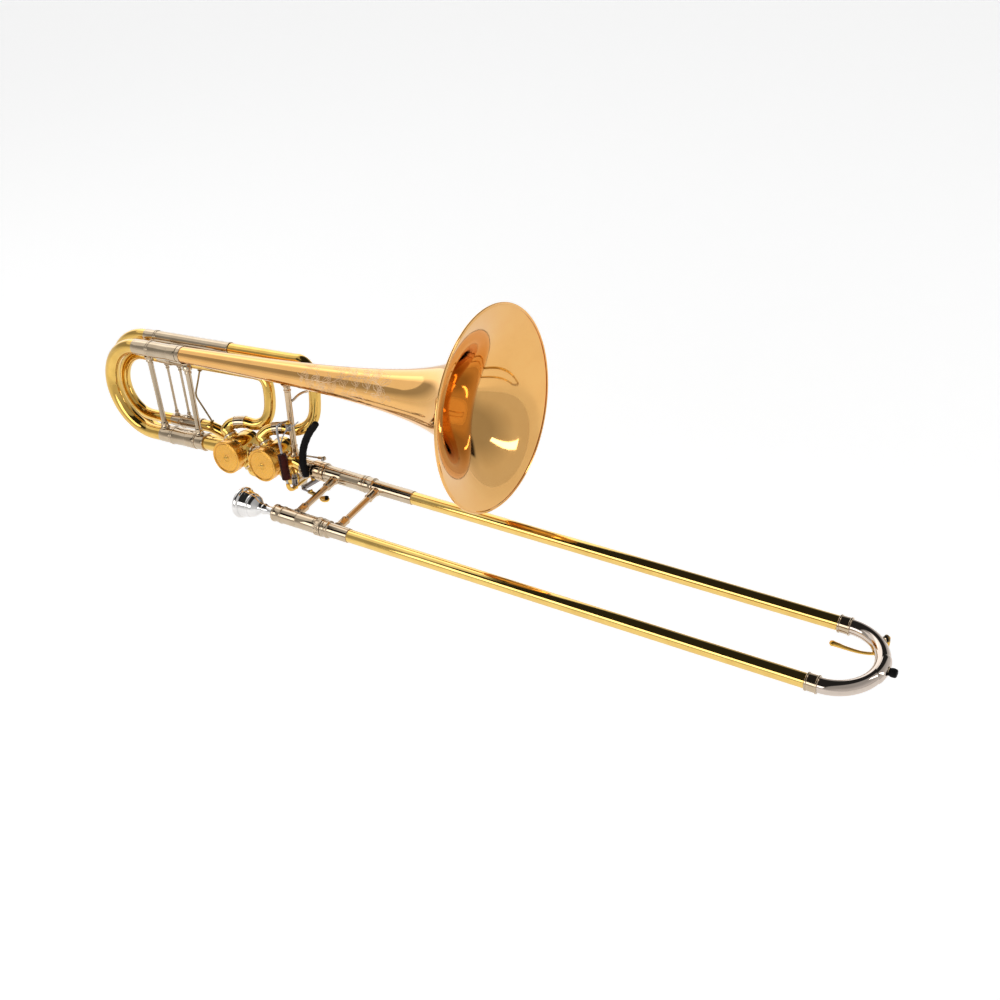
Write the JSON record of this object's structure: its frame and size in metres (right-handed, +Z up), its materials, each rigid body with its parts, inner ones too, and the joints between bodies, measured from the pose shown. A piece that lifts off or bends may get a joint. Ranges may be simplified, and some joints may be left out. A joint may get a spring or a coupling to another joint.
{
  "type": "trombone",
  "caption": "Bass trombone with flared bell, paired in-line rotary valves, nested tuning bows, thumb levers and a long hand slide.",
  "frame": {"origin": "middle of the left-hand grip brace, where the left hand holds the instrument up", "axes": "+X along the hand slide towards its bow and the bell mouth, +Z up, +Y towards the player's left"},
  "size_m": [1.1558, 0.2656, 0.3114],
  "materials": {
    "bell": "rose brass, lacquered, polished and engraved",
    "bell_brace": "nickel silver, lacquered, polished",
    "bell_lock_nut": "lacquered, polished",
    "cork_barrel_left": "nickel silver, lacquered, polished",
    "cork_barrel_right": "nickel silver, lacquered, polished",
    "end_bumper": "matt black",
    "f_bow_brace": "nickel silver, lacquered, polished",
    "f_lever": "bright wire",
    "f_lever_arm": "lacquered, polished",
    "f_lever_grip": "dark red, stitched sleeve",
    "f_lever_lower_hinge": "nickel silver, lacquered, polished",
    "f_lever_spring": "bright wire",
    "f_lever_upper_hinge": "nickel silver, lacquered, polished",
    "f_link_rod": "bright wire",
    "f_loop_feed_tube": "lacquered, polished",
    "f_loop_return_tube": "lacquered, polished",
    "f_loop_stay": "bright wire",
    "f_lower_sleeve": "nickel silver, lacquered, polished",
    "f_sleeve_brace": "nickel silver, lacquered, polished",
    "f_tuning_bow": "lacquered, polished",
    "f_upper_sleeve": "nickel silver, lacquered, polished",
    "g_lever": "bright wire",
    "g_lever_hinge": "nickel silver, lacquered, polished",
    "g_lever_paddle": "gold plated, satin",
    "g_lever_spring": "bright wire",
    "g_link_rod": "bright wire",
    "g_loop_feed_tube": "lacquered, polished",
    "g_loop_return_tube": "lacquered, polished",
    "g_lower_sleeve": "nickel silver, lacquered, polished",
    "g_tuning_bow": "lacquered, polished",
    "g_upper_sleeve": "nickel silver, lacquered, polished",
    "gooseneck": "lacquered, polished",
    "grip_brace": "nickel silver, lacquered, polished",
    "hand_rest_pad": "black, padded",
    "inner_tube_left": "nickel silver, lacquered, polished",
    "inner_tube_right": "nickel silver, lacquered, polished",
    "loop_strut": "nickel silver, lacquered, polished",
    "lower_tuning_sleeve": "nickel silver, lacquered, polished",
    "main_tuning_bow": "lacquered, polished",
    "mouthpiece": "silver plated, mirror polished",
    "outer_slide_brace": "nickel silver, lacquered, polished",
    "outer_tube_left": "lacquered, polished",
    "outer_tube_right": "lacquered, polished",
    "rear_bell_brace": "nickel silver, lacquered, polished",
    "slide_bow": "nickel silver, lacquered, polished",
    "slide_lock_ring": "nickel silver, lacquered, polished",
    "tuning_slide_brace": "nickel silver, lacquered, polished",
    "upper_tuning_sleeve": "nickel silver, lacquered, polished",
    "valve_1_casing": "lacquered, polished",
    "valve_1_front_cap": "gold plated, satin",
    "valve_1_inlet_tube": "lacquered, polished",
    "valve_1_rotor": "lacquered, polished",
    "valve_1_stop_arm": "lacquered, polished",
    "valve_2_casing": "lacquered, polished",
    "valve_2_front_cap": "gold plated, satin",
    "valve_2_rotor": "lacquered, polished",
    "valve_2_stop_arm": "lacquered, polished",
    "valve_joint_tube": "nickel silver, lacquered, polished",
    "water_key": "gold plated, satin",
    "water_key_saddle": "nickel silver, lacquered, polished"
  },
  "bodies": {
    "bell_and_inner_slide": {"bell": "bell", "upper_tuning_sleeve": "upper_tuning_sleeve", "lower_tuning_sleeve": "lower_tuning_sleeve", "rear_bell_brace": "rear_bell_brace", "bell_brace": "bell_brace", "valve_1_inlet_tube": "valve_1_inlet_tube", "valve_joint_tube": "valve_joint_tube", "gooseneck": "gooseneck", "valve_1_casing": "valve_1_casing", "valve_2_casing": "valve_2_casing", "valve_1_front_cap": "valve_1_front_cap", "valve_2_front_cap": "valve_2_front_cap", "f_loop_feed_tube": "f_loop_feed_tube", "f_loop_return_tube": "f_loop_return_tube", "f_upper_sleeve": "f_upper_sleeve", "f_lower_sleeve": "f_lower_sleeve", "f_sleeve_brace": "f_sleeve_brace", "f_loop_stay": "f_loop_stay", "loop_strut": "loop_strut", "g_loop_feed_tube": "g_loop_feed_tube", "g_loop_return_tube": "g_loop_return_tube", "g_upper_sleeve": "g_upper_sleeve", "g_lower_sleeve": "g_lower_sleeve", "f_lever_upper_hinge": "f_lever_upper_hinge", "f_lever_lower_hinge": "f_lever_lower_hinge", "g_lever_hinge": "g_lever_hinge", "f_lever_spring": "f_lever_spring", "g_lever_spring": "g_lever_spring", "hand_rest_pad": "hand_rest_pad", "inner_tube_left": "inner_tube_left", "inner_tube_right": "inner_tube_right", "cork_barrel_left": "cork_barrel_left", "cork_barrel_right": "cork_barrel_right", "grip_brace": "grip_brace"},
    "outer_slide": {"outer_tube_right": "outer_tube_right", "outer_tube_left": "outer_tube_left", "outer_slide_brace": "outer_slide_brace", "slide_bow": "slide_bow", "end_bumper": "end_bumper", "water_key_saddle": "water_key_saddle"},
    "water_key_lever": {"water_key": "water_key"},
    "main_tuning_slide": {"main_tuning_bow": "main_tuning_bow", "tuning_slide_brace": "tuning_slide_brace"},
    "f_tuning_slide": {"f_tuning_bow": "f_tuning_bow", "f_bow_brace": "f_bow_brace"},
    "g_tuning_slide": {"g_tuning_bow": "g_tuning_bow"},
    "f_thumb_lever": {"f_lever": "f_lever", "f_lever_grip": "f_lever_grip", "f_lever_arm": "f_lever_arm"},
    "g_thumb_lever": {"g_lever": "g_lever", "g_lever_paddle": "g_lever_paddle"},
    "valve_1": {"valve_1_rotor": "valve_1_rotor", "valve_1_stop_arm": "valve_1_stop_arm"},
    "valve_2": {"valve_2_rotor": "valve_2_rotor", "valve_2_stop_arm": "valve_2_stop_arm"},
    "f_link": {"f_link_rod": "f_link_rod"},
    "g_link": {"g_link_rod": "g_link_rod"},
    "bell_lock": {"bell_lock_nut": "bell_lock_nut"},
    "slide_lock": {"slide_lock_ring": "slide_lock_ring"},
    "mouthpiece_body": {"mouthpiece": "mouthpiece"}
  },
  "joints": [
    {"name": "hand_slide", "type": "slide", "parent": "bell_and_inner_slide", "child": "outer_slide", "axis": [1, 0, 0], "range_m": [0, 0.57]},
    {"name": "water_key_hinge", "type": "hinge", "parent": "outer_slide", "child": "water_key_lever", "pos_m": [0.69788, 0.03608, -0.0161], "axis": [-0.766, 0.6428, 0], "range_deg": [0, 15], "stiffness_Nm_per_rad": 0.05, "springref_deg": -22.92},
    {"name": "main_tuning_slide_pull", "type": "slide", "parent": "bell_and_inner_slide", "child": "main_tuning_slide", "axis": [-0.9976, -0.0141, -0.0673], "range_m": [0, 0.03]},
    {"name": "f_tuning_slide_pull", "type": "slide", "parent": "bell_and_inner_slide", "child": "f_tuning_slide", "axis": [-0.9976, -0.0141, -0.0673], "range_m": [0, 0.015]},
    {"name": "g_tuning_slide_pull", "type": "slide", "parent": "bell_and_inner_slide", "child": "g_tuning_slide", "axis": [-0.9976, -0.0141, -0.0673], "range_m": [0, 0.035]},
    {"name": "f_lever_hinge", "type": "hinge", "parent": "bell_and_inner_slide", "child": "f_thumb_lever", "pos_m": [-0.06101, 0.03306, 0.00613], "axis": [0.0687, -0.204, -0.9766], "range_deg": [0, 11.8], "stiffness_Nm_per_rad": 0.25, "springref_deg": -11.46},
    {"name": "g_lever_hinge_turn", "type": "hinge", "parent": "bell_and_inner_slide", "child": "g_thumb_lever", "pos_m": [-0.04485, 0.04264, -0.02135], "axis": [0, 0.9789, -0.2045], "range_deg": [0, 27], "stiffness_Nm_per_rad": 0.15, "springref_deg": -20.05},
    {"name": "valve_1_turn", "type": "hinge", "parent": "bell_and_inner_slide", "child": "valve_1", "pos_m": [-0.16187, 0.04632, -0.00373], "axis": [0, -0.9789, 0.2045], "range_deg": [0, 64.1]},
    {"name": "valve_2_turn", "type": "hinge", "parent": "bell_and_inner_slide", "child": "valve_2", "pos_m": [-0.10121, 0.04717, 0.00036], "axis": [0, -0.9789, 0.2045], "range_deg": [0, 64.1]},
    {"name": "f_link_pivot", "type": "hinge", "parent": "f_thumb_lever", "child": "f_link", "pos_m": [-0.06371, 0.07516, -0.02948], "axis": [-0.0687, 0.204, 0.9766], "range_deg": [0, 11.9]},
    {"name": "g_link_pivot", "type": "hinge", "parent": "g_thumb_lever", "child": "g_link", "pos_m": [-0.04969, 0.07967, -0.00793], "axis": [0, -0.9789, 0.2045], "range_deg": [0, 27.1]},
    {"name": "bell_lock_nut_turn", "type": "hinge", "parent": "bell_and_inner_slide", "child": "bell_lock", "pos_m": [-0.037, 0.0471, 0], "axis": [1, 0, 0], "range_deg": [0, 345]},
    {"name": "slide_lock_turn", "type": "hinge", "parent": "bell_and_inner_slide", "child": "slide_lock", "pos_m": [0.038, -0.0471, 0], "axis": [1, 0, 0], "range_deg": [0, 40]},
    {"name": "mouthpiece_pull", "type": "slide", "parent": "bell_and_inner_slide", "child": "mouthpiece_body", "axis": [-1, 0, 0], "range_m": [0, 0.05]}
  ],
  "couplings": [
    {"joint": "valve_1_turn", "follows": "f_lever_hinge", "ratio": 5.4237},
    {"joint": "valve_2_turn", "follows": "g_lever_hinge_turn", "ratio": 2.3704},
    {"joint": "f_link_pivot", "follows": "f_lever_hinge", "ratio": 1},
    {"joint": "g_link_pivot", "follows": "g_lever_hinge_turn", "ratio": 1}
  ]
}
